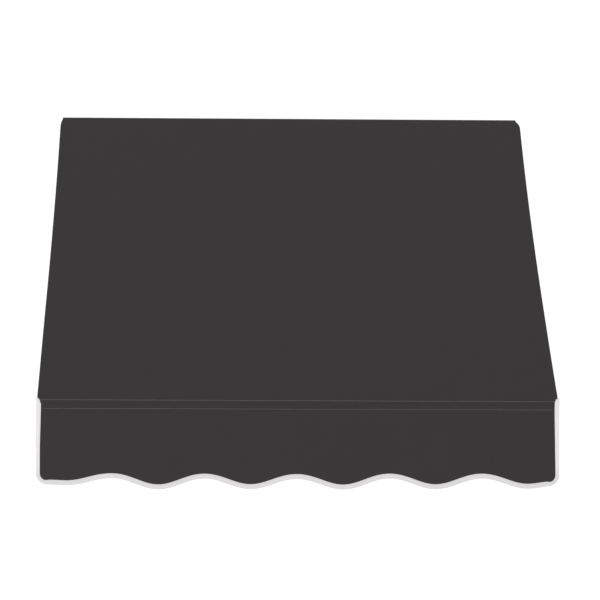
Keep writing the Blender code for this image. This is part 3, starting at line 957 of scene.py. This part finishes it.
    def head_hem(self, line: np.ndarray) -> bpy.types.Object:
        """Sew the hem under the head bar, between the notches.

        Args:
            line: the sheet's mid line.

        Returns:
            The stitches.
        """
        size = self.size
        y, z = line[2] - np.array([0.0045, size.cloth + 0.0002])
        notches = [spot + d for spot in self.boxes.brackets for d in (-size.notch_half, size.notch_half)]
        stops = [-size.notch_end, *notches, size.notch_end]
        spans = []
        for low, high in zip(stops[::2], stops[1::2]):
            x = np.linspace(low + 0.003, high - 0.003, 40)
            spans.append(np.column_stack([x, np.full(40, y), np.full(40, z)]))
        return self.tool.sew("head_hem_stitches", spans, self.dark, radius=FINE_THREAD)

    # -- valance
    def edge_height(self, x: np.ndarray) -> np.ndarray:
        """Return the height of the binding's outer edge: five waves between flatter ends.

        Args:
            x: positions across the width.

        Returns:
            The heights.
        """
        size = self.size
        first = size.wave_low - 2.0 * size.wave
        last = first + size.waves * size.wave
        inside = np.clip(x, first, last)
        wave = size.depth * (1.0 - np.cos(2.0 * np.pi * (inside - first) / size.wave)) / 2.0
        left = np.clip((first - x) / (size.wave / 2.0) + 1.0, 0.0, 1.0)
        right = np.clip((x - last) / (size.wave / 2.0) + 1.0, 0.0, 1.0)
        ends = size.lobe_left * left ** 2 * (3.0 - 2.0 * left) + size.lobe_right * right ** 2
        ends += size.rise_left[0] * np.clip((first - x) / size.rise_left[1], 0.0, 1.0)
        ends += size.rise_right[0] * np.clip((x - last) / size.rise_right[1], 0.0, 1.0) ** 1.5
        belly = size.belly[0] * np.clip(np.abs(x) / size.belly[1], 0.0, 1.0) ** 2
        return size.low + wave + ends + belly

    def edge_path(self) -> np.ndarray:
        """Return the binding's outer edge from the top left round to the top right.

        Returns:
            The (x, z) points.
        """
        size = self.size
        half, radius = size.valance_half, size.corner
        top = self.bend[1]
        ends = np.array([-half + radius, half - radius])
        left_z, right_z = self.edge_height(ends).tolist()
        left = [(-half, z) for z in np.linspace(top, left_z + radius, SIDE_POINTS)]
        left += arc((-half + radius, left_z + radius), radius, 180.0, 270.0, 16)[1:]
        x = np.linspace(*ends, EDGE_POINTS)[1:-1]
        base = list(zip(x.tolist(), self.edge_height(x).tolist()))
        right = arc((half - radius, right_z + radius), radius, 270.0, 360.0, 16)
        right += [(half, z) for z in np.linspace(right_z + radius, top, SIDE_POINTS)[1:]]
        return np.array(left + base + right)

    def hang(self, x: np.ndarray, z: np.ndarray) -> tuple[np.ndarray, np.ndarray]:
        """Return how the hanging cloth leaves its flat plane.

        Args:
            x: positions across the width.
            z: heights.

        Returns:
            The forward (-Y) shift and the sideways scale.
        """
        size = self.size
        below = np.clip((self.boxes.bar_low.z - 0.004 - z) / size.hang_depth, 0.0, 1.1)
        ripple = sum(np.sin(2.0 * np.pi * x / length + phase) * height for length, phase, height in size.ripples)
        spread = np.where(x < 0.0, size.spread_left, size.spread_right)
        near_top = np.clip(1.0 - below / 0.45, 0.0, 1.0)
        wide = 1.0 + spread * below - np.where(x < 0.0, size.top_in_left, 0.0) * near_top
        return below ** 1.5 * (size.kick + ripple), wide

    def surface(self, x: np.ndarray, z: np.ndarray, lift: float) -> np.ndarray:
        """Place flat (x, z) points on the hanging cloth.

        Points above the bend lie on the slope, as far up it as they are above the bend.

        Args:
            x: positions across the width.
            z: heights, those above the bend measured along the cloth.
            lift: distance in front of the cloth's middle.

        Returns:
            The points in space.
        """
        bend_z = self.bend[1] - BEND_DROP
        forward, wide = self.hang(x, z)
        above = np.clip(z - bend_z, 0.0, None)
        blend = np.clip(above / 0.0015, 0.0, 1.0)
        out_y = -1.0 * (1.0 - blend) + self.out[0] * blend
        out_z = self.out[1] * blend
        y = np.where(above > 0.0, self.front_y + self.up[0] * above, self.front_y - forward)
        height = np.where(above > 0.0, bend_z + self.up[1] * above, z)
        return np.stack([x * wide, y + out_y * lift, height + out_z * lift], axis=-1)

    def build_valance(self) -> None:
        """Build the hanging valance panel."""
        size = self.size
        path = self.edge_path()
        edge = path + self.inward(path) * (size.tape + 0.0002)
        lower = edge[SIDE_POINTS - 1:1 - SIDE_POINTS]
        top = self.bend[1] - BEND_DROP + size.tail
        share = np.concatenate([np.linspace(0.0, 0.06, 12), np.linspace(0.06, 1.0, 60)[1:]])[:, None]
        x = np.repeat(lower[None, :, 0], len(share), axis=0)
        z = top + (lower[None, :, 1] - top) * share
        points = self.surface(x, z, 0.0)
        normals = np.cross(np.gradient(points, axis=1), np.gradient(points, axis=0))
        normals /= np.linalg.norm(normals, axis=2, keepdims=True) + 1e-12
        normals = np.where(normals[..., 1:2] > 0.0, -normals, normals)
        cells = np.ones((len(share) - 1, x.shape[1] - 1), bool)
        grid = SheetGrid(points, normals, size.cloth, cells, x, z)
        valance = add_piece("cover_valance", grid.mesh("cover_valance"), self.canvas)
        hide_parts("valance")
        half = size.half_width - size.binding - 0.004
        seam_x = np.linspace(-half, half, SEAM_POINTS)
        seam_z = self.boxes.bar_low.z - 0.0030 - size.seam_slant * seam_x / half
        seam_line = self.surface(seam_x, seam_z, size.cloth / 2.0 + 0.00012)
        seam = self.tool.sew("lower_pocket_seam", [seam_line], self.grey)

    @staticmethod
    def inward(path: np.ndarray) -> np.ndarray:
        """Return unit normals of the edge path that point into the cloth.

        Args:
            path: the (x, z) points.

        Returns:
            One normal a point.
        """
        tangent = np.gradient(path, axis=0)
        tangent /= np.linalg.norm(tangent, axis=1, keepdims=True)
        return np.stack([-tangent[:, 1], tangent[:, 0]], axis=1)

    def binding_width(self, path: np.ndarray) -> np.ndarray:
        """Return how far the tape reaches onto the cloth: it narrows down the sides.

        Args:
            path: the tape's outer edge, as (x, z) points.

        Returns:
            One width a point.
        """
        size = self.size
        side = np.abs(path[:, 0]) > size.valance_half - size.corner * 0.8
        down = np.clip((self.bend[1] - path[:, 1]) / 0.17, 0.0, 1.0)
        side_width = size.binding_side_top + (size.binding_side_low - size.binding_side_top) * down
        width = np.where(side, side_width, size.binding)
        kernel = np.hanning(13)
        padded = np.pad(width, 6, mode="edge")
        return np.convolve(padded, kernel / kernel.sum(), mode="valid")

    def build_binding(self) -> None:
        """Build the folded tape over the valance's three free edges, with its stitches."""
        size = self.size
        half, top = size.valance_half, self.bend[1]
        extra = np.linspace(size.tail - 0.0014, 0.0, TAIL_POINTS, endpoint=False)
        left = np.column_stack([np.full(TAIL_POINTS, -half), top + extra])
        right = np.column_stack([np.full(TAIL_POINTS, half), top + extra[::-1]])
        path = np.concatenate([left, self.edge_path(), right])
        normal, width = self.inward(path), self.binding_width(path)
        reach = size.cloth / 2.0 + 0.0001
        outer = reach + size.tape
        # the tape's section: its share of the width in from the edge, and its lift off the cloth
        share = [1.0, 0.95, 0.6, 0.20, 0.065, 0.0, 0.0, 0.065, 0.20, 0.6, 0.95, 1.0, 1.0, 0.5, 0.10, 0.10, 0.5, 1.0]
        front = [reach + 0.0003, outer, outer + 0.0001, outer + 0.0001, outer * 0.85, outer * 0.45]
        inside = [-reach, -reach, -reach * 0.6, reach * 0.6, reach, reach]
        lift = [*front, *(-value for value in reversed(front)), *inside]
        rings = []
        for part, height in zip(share, lift):
            spot = path + normal * width[:, None] * part
            rings.append(self.surface(spot[:, 0], spot[:, 1], height))
        run = lengths(path)
        girth = np.concatenate([[0.0], np.cumsum(np.hypot(np.diff(share) * size.binding, np.diff(lift)))])
        rows, count = len(path), len(share)
        faces = tube_faces(rows, count)
        mesh = bpy.data.meshes.new("valance_binding_tape")
        mesh.from_pydata(np.stack(rings, axis=1).reshape(-1, 3).tolist(), [], faces)
        uv = np.stack([np.tile(girth, rows), np.repeat(run, count)], axis=-1)
        loops = np.array([corner for face in faces for corner in face])
        layer = mesh.uv_layers.new(name=UV_NAME)
        layer.data.foreach_set("uv", uv[loops].astype(np.float32).ravel())
        # Painted shade: the tape below a set depth is darkened, standing in for the shade on its lower edge.
        low = np.clip((self.bend[1] - size.painted_shade_zone[0] - path[:, 1]) / size.painted_shade_zone[1], 0.0, 1.0)
        painted_shade = np.repeat(1.0 - (1.0 - size.low_painted_shade) * low, count).astype(np.float32)
        mesh.attributes.new(PAINTED_SHADE_NAME, "FLOAT", "POINT").data.foreach_set("value", painted_shade)
        mesh.update()
        mesh.shade_smooth()
        mesh.set_sharp_from_angle(angle=math.radians(60.0))
        binding = add_piece("valance_binding_tape", mesh, self.tape)
        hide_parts("valance_binding")
        spot = path + normal * (width[:, None] - size.tape_seam)
        above = outer + 0.00018
        ends = slice(TAIL_POINTS + 2, -TAIL_POINTS - 2)
        rows_of_stitches = [self.surface(spot[:, 0], spot[:, 1], lift)[ends] for lift in (above, -above)]
        stitches = self.tool.sew(
            "binding_stitches", rows_of_stitches, self.pale, pitch=0.0036, length=0.0028, radius=FINE_THREAD)

    def build_pocket(self) -> None:
        """Build the strip round the back of the front bar."""
        low, high, corner = self.boxes.bar_low, self.boxes.bar_high, self.boxes.corner
        size = self.size
        off = size.air + size.cloth / 2.0
        reach = corner + off
        line = [(low.y + inset, high.z + off) for inset in (0.0016, 0.006, 0.012)]
        line += arc((high.y - corner, high.z - corner), reach, 90.0, 0.0, 6)
        line += [(high.y + off, (high.z + low.z) / 2.0)]
        line += arc((high.y - corner, low.z + corner), reach, 0.0, -90.0, 6)
        line += [(low.y + 0.012, low.z - off), (low.y + 0.004, low.z - off)]
        line += [(low.y + 0.0014, low.z - off - 0.0005), (low.y + 0.0005, low.z - off - 0.0018)]
        line = np.array([*line, (low.y + 0.0002, low.z - 0.0075)])
        normals, run = line_normals(line), lengths(line)
        x = dense([-size.pocket_half, size.pocket_half], 0.012)
        ones = np.ones((len(line), len(x)))
        points = np.stack([ones * x, ones * line[:, :1], ones * line[:, 1:]], axis=-1)
        directions = np.stack([ones * 0.0, ones * normals[:, :1], ones * normals[:, 1:]], axis=-1)
        cells = np.ones((len(line) - 1, len(x) - 1), bool)
        grid = SheetGrid(points, directions, size.cloth, cells, ones * x, ones * run[:, None])
        strip = add_piece("cover_pocket_strip", grid.mesh("cover_pocket_strip"), self.canvas)
        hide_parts("front_pocket_strip")

    def build(self) -> None:
        """Build every cloth piece."""
        self.build_sheet()
        self.build_valance()
        self.build_binding()
        self.build_pocket()


# ---- screws (Geometry Nodes) ------------------------------------------------
SCREW_NAMES = ("screw_", "cover_screw")


@dataclass(frozen=True)
class ScrewSize:
    """Sizes of one pan-head screw with a cross recess, in metres."""

    head_radius: float = 0.0042
    head_height: float = 0.0026
    shank_radius: float = 0.0019
    thread_depth: float = 0.00035
    pitch: float = 0.0011
    length: float = 0.0082
    point: float = 0.0024
    recess_reach: float = 0.0021
    recess_half: float = 0.00042
    recess_depth: float = 0.0014
    around: int = 48
    seed: int = 5


class ScrewSet:
    """All the awning's screws: one modelled screw, copied onto every screw node."""

    def __init__(self, size: ScrewSize, material: bpy.types.Material) -> None:
        """Keep the sizes and the finish.

        Args:
            size: one screw's sizes.
            material: the screws' finish.
        """
        self.size = size
        self.material = material

    def template(self) -> bpy.types.Mesh:
        """Model one screw, its head's underside at the origin and its head along +Z.

        Returns:
            The mesh.
        """
        size = self.size
        angle = np.linspace(0.0, 2.0 * np.pi, size.around, endpoint=False)
        fold = np.abs((angle + np.pi / 4.0) % (np.pi / 2.0) - np.pi / 4.0)
        cross = np.minimum(size.recess_reach, size.recess_half / np.maximum(np.sin(fold), 1e-6))
        one = np.ones_like(angle)
        rings = [(one * 1e-5, -size.length * one)]
        for depth in np.arange(size.length - 0.0002, 0.0, -size.pitch / 5.0):
            phase = (depth / size.pitch + angle / (2.0 * np.pi)) % 1.0
            ridge = 1.0 - np.abs(2.0 * phase - 1.0)
            taper = min(1.0, (size.length - depth) / size.point)
            radius = (size.shank_radius - size.thread_depth * (1.0 - ridge)) * taper
            rings.append((radius, -depth * one))
        head, tall = size.head_radius, size.head_height
        for radius, height in ((size.shank_radius, 0.0), (head * 0.97, 0.0), (head, 0.0002), (head, tall * 0.35),
                               (head * 0.96, tall * 0.55), (head * 0.87, tall * 0.76), (head * 0.74, tall * 0.91),
                               (head * 0.60, tall)):
            rings.append((radius * one, height * one))
        floor = tall - size.recess_depth
        rings += [(cross * 1.04, tall * one), (cross * 0.97, (tall - 0.0001) * one), (cross * 0.80, floor * one),
                  (one * 1e-5, (floor - 0.0002) * one)]
        points = np.concatenate([np.stack([r * np.cos(angle), r * np.sin(angle), z], axis=1) for r, z in rings])
        mesh = bpy.data.meshes.new("screw_template")
        mesh.from_pydata(points.tolist(), [], tube_faces(len(rings), size.around))
        mesh.shade_smooth()
        mesh.set_sharp_from_angle(angle=math.radians(40.0))
        return mesh

    def places(self, nodes: Sequence[bpy.types.Object]) -> tuple[np.ndarray, np.ndarray]:
        """Find where each screw sits and how it is turned.

        Args:
            nodes: the CAD screws.

        Returns:
            The points under the heads and the rotations as Euler angles.
        """
        chance = np.random.default_rng(self.size.seed)
        points, turns = [], []
        for node in nodes:
            spots = np.array([(node.matrix_world @ vertex.co)[:] for vertex in node.data.vertices])
            spots = np.unique(spots.round(6), axis=0)
            middle = spots.mean(axis=0)
            _, vectors = np.linalg.eigh(np.cov((spots - middle).T))
            axis = vectors[:, 2]
            along = (spots - middle) @ axis
            if along.max() > -along.min():
                axis = -axis
            side = middle - axis * (middle @ axis)
            top = float((spots @ axis).max())
            points.append(side + axis * (top - self.size.head_height))
            turn = Vector(axis).to_track_quat("Z", "Y").to_matrix()
            spin = Matrix.Rotation(float(chance.uniform(0.0, math.pi)), 3, "Z")
            turns.append((turn @ spin).to_euler()[:])
        return np.array(points), np.array(turns)

    @staticmethod
    def tree() -> CopyTree:
        """Make the node group that copies the screw onto turned points.

        Returns:
            The group.
        """
        graph = CopyTree("screw_copies", {"Screw": "Object", "Material": "Material"})
        source = graph.add("GeometryNodeObjectInfo")
        graph.link(graph.given["Screw"], source.inputs["Object"])
        turn = graph.add("GeometryNodeInputNamedAttribute", data_type="FLOAT_VECTOR")
        turn.inputs["Name"].default_value = "turn"
        rotation = graph.add("FunctionNodeEulerToRotation")
        graph.link(turn.outputs["Attribute"], rotation.inputs[0])
        graph.copy(
            Points=graph.given["Geometry"], Instance=source.outputs["Geometry"], Rotation=rotation.outputs[0])
        return graph

    def build(self, nodes: dict[str, bpy.types.Object]) -> None:
        """Copy the screw onto every screw node.

        Args:
            nodes: the frame's nodes by name.
        """
        names = sorted(name for name in nodes if name.startswith(SCREW_NAMES))
        points, turns = self.places([nodes[name] for name in names])
        cloud = bpy.data.meshes.new("screw_points")
        cloud.from_pydata(points.tolist(), [], [])
        layer = cloud.attributes.new("turn", "FLOAT_VECTOR", "POINT")
        layer.data.foreach_set("vector", turns.astype(np.float32).ravel())
        screw = bpy.data.objects.new("screw_template", self.template())
        bpy.context.scene.collection.objects.link(screw)
        mesh = self.tree().run("frame_screws", cloud, {"Screw": screw, "Material": self.material})
        bpy.data.objects.remove(screw)
        piece = add_piece("frame_screws", mesh, self.material)
        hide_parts(*names)


# ---- frame ------------------------------------------------------------------
class MetalFrame:
    """The tube frame, its plates, screws and caps."""

    def __init__(self) -> None:
        """Build the frame's finishes."""
        self.finishes = {
            Slot.TUBE: TUBE_METAL.build(),
            Slot.BRACKET: PLATE_METAL.build(),
            Slot.SCREW: SCREW_METAL.build(),
            Slot.CAP: CAP_PLASTIC.build(),
        }

    @staticmethod
    def slot_of(node: str) -> Slot:
        """Tell a CAD node's slot from its name.

        Args:
            node: the node's name.

        Returns:
            The slot.
        """
        if node.startswith(SCREW_NAMES):
            return Slot.SCREW
        if "_cap_" in node:
            return Slot.CAP
        if "bracket" in node:
            return Slot.BRACKET
        return Slot.TUBE

    def dress(self, nodes: dict[str, bpy.types.Object]) -> None:
        """Make the screws, and give every other shown CAD node its finish.

        Args:
            nodes: the frame's nodes by name.
        """
        ScrewSet(ScrewSize(), self.finishes[Slot.SCREW]).build(nodes)
        for name, obj in nodes.items():
            if obj.hide_render:
                continue
            obj.data.materials.clear()
            obj.data.materials.append(self.finishes[self.slot_of(name)])
            log.info("%s: %s", name, self.slot_of(name).value)


# ---- studio -----------------------------------------------------------------
@dataclass(frozen=True)
class CameraView:
    """Camera in front of the awning, turned by degrees, with its lens and sensor in millimetres."""

    place: tuple[float, float, float] = (-0.1727, -6.033, 0.7654)
    yaw: float = 1.946
    pitch: float = 11.785
    roll: float = 0.589
    lens: float = 124.686
    sensor: float = 36.0

    def build(self) -> bpy.types.Object:
        """Make the camera.

        Returns:
            The camera object.
        """
        data = bpy.data.cameras.new("camera")
        data.sensor_width = self.sensor
        data.lens = self.lens
        data.clip_start = 0.1
        data.clip_end = 200.0
        camera = bpy.data.objects.new("camera", data)
        bpy.context.scene.collection.objects.link(camera)
        yaw, pitch = math.radians(self.yaw), math.radians(self.pitch)
        ahead = Vector((math.sin(yaw) * math.cos(pitch), math.cos(yaw) * math.cos(pitch), -math.sin(pitch)))
        level = Vector((math.cos(yaw), -math.sin(yaw), 0.0))
        above = level.cross(ahead)
        roll = math.radians(self.roll)
        right = level * math.cos(roll) + above * math.sin(roll)
        up = above * math.cos(roll) - level * math.sin(roll)
        matrix = camera.matrix_world.to_3x3()
        matrix.col[0], matrix.col[1], matrix.col[2] = right, up, -ahead
        camera.matrix_world = matrix.to_4x4()
        camera.location = self.place
        bpy.context.scene.camera = camera
        return camera


@dataclass(frozen=True)
class Studio:
    """Plain pale floor, soft light and camera."""

    floor_z: float = -2.6
    floor_half: float = 60.0
    floor_grey: float = 0.8
    floor_glow: float = 0.24
    world: float = 1.0
    light_place: tuple[float, float, float] = (-1.2, -6.0, 0.1)
    light_aim: tuple[float, float, float] = (0.0, -0.5, -0.4)
    light_size: tuple[float, float] = (5.0, 3.0)
    light_power: float = 70.0

    def build_floor(self) -> None:
        """Make the pale floor."""
        half = self.floor_half
        corners = [(x * half, y * half, self.floor_z) for x, y in ((-1, -1), (1, -1), (1, 1), (-1, 1))]
        mesh = bpy.data.meshes.new("floor")
        mesh.from_pydata(corners, [], [(0, 1, 2, 3)])
        material = bpy.data.materials.new("floor_white")
        material.use_nodes = True
        shader = material.node_tree.nodes["Principled BSDF"]
        shader.inputs["Base Color"].default_value = (*[self.floor_grey] * 3, 1.0)
        shader.inputs["Roughness"].default_value = 0.9
        shader.inputs["Emission Color"].default_value = (1.0, 1.0, 1.0, 1.0)
        shader.inputs["Emission Strength"].default_value = self.floor_glow
        mesh.materials.append(material)
        floor = bpy.data.objects.new("floor", mesh)
        bpy.context.scene.collection.objects.link(floor)

    def build_light(self) -> None:
        """Make the even white surroundings and one broad soft light."""
        world = bpy.data.worlds.new("studio")
        world.use_nodes = True
        sky = world.node_tree.nodes["Background"]
        sky.inputs["Color"].default_value = (1.0, 1.0, 1.0, 1.0)
        sky.inputs["Strength"].default_value = self.world
        bpy.context.scene.world = world
        data = bpy.data.lights.new("soft_front", "AREA")
        data.shape = "RECTANGLE"
        data.size, data.size_y = self.light_size
        data.energy = self.light_power
        light = bpy.data.objects.new("soft_front", data)
        light.location = self.light_place
        aim = Vector(self.light_aim) - light.location
        light.rotation_euler = aim.to_track_quat("-Z", "Y").to_euler()
        bpy.context.scene.collection.objects.link(light)

    def build(self) -> None:
        """Build floor, light and camera."""
        self.build_floor()
        self.build_light()
        CameraView().build()
        bpy.context.scene.view_settings.view_transform = "Standard"


def main() -> None:
    """Build the looks round the CAD frame."""
    logging.basicConfig(level=logging.INFO)
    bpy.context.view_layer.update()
    cover = Cover(CoverSize(), FrameBoxes(), StitchTool())
    cover.build()
    MetalFrame().dress(frame["nodes"])
    Studio().build()


if __name__ == "__main__":
    main()
